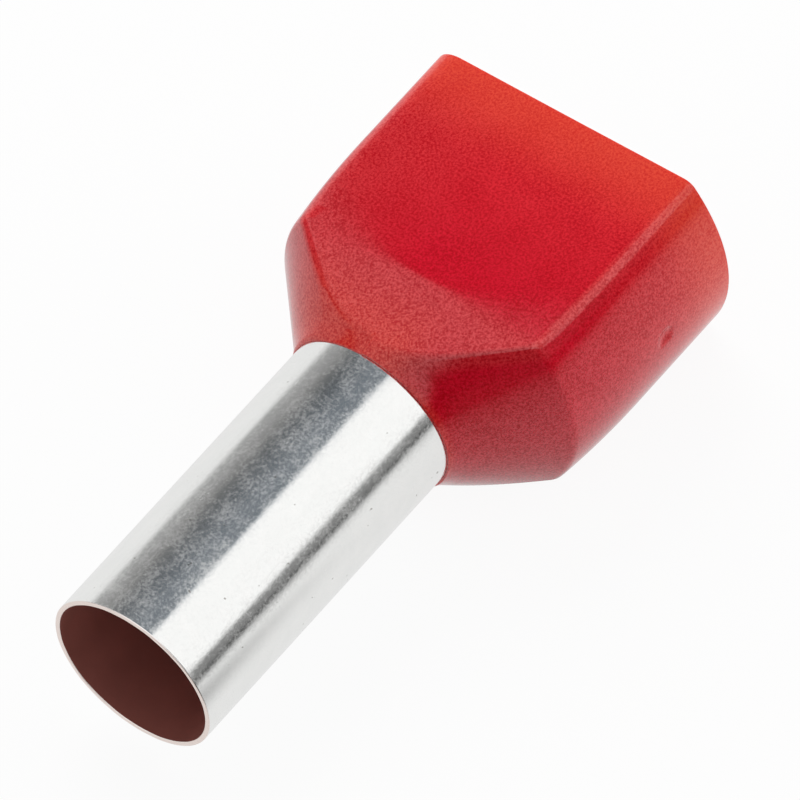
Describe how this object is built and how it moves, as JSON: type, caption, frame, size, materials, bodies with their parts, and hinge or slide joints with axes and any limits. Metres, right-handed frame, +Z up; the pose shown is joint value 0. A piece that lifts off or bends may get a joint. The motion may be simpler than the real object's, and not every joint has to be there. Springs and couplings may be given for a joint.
{
  "type": "insulated wire ferrule",
  "caption": "Insulated crimp ferrule: a thin tinned tube in a flat-sided moulded collar with a wide funnel mouth for paired stranded wires.",
  "frame": {"origin": "on the surface that the ferrule lies on, under the middle of its length and width", "axes": "+X along the tube from its open end to the collar's mouth, +Y across the collar's width, +Z up, square to the collar's flats"},
  "size_m": [0.0264, 0.0136, 0.0081],
  "materials": {
    "collar_plastic": "moulded red polypropylene with a fine matt texture, slightly translucent at thin edges",
    "tinned_copper": "drawn copper tube with a bright, faintly mottled tin plating"
  },
  "bodies": {
    "root": {"insulating_collar": "collar_plastic", "crimp_tube": "tinned_copper"}
  },
  "joints": []
}
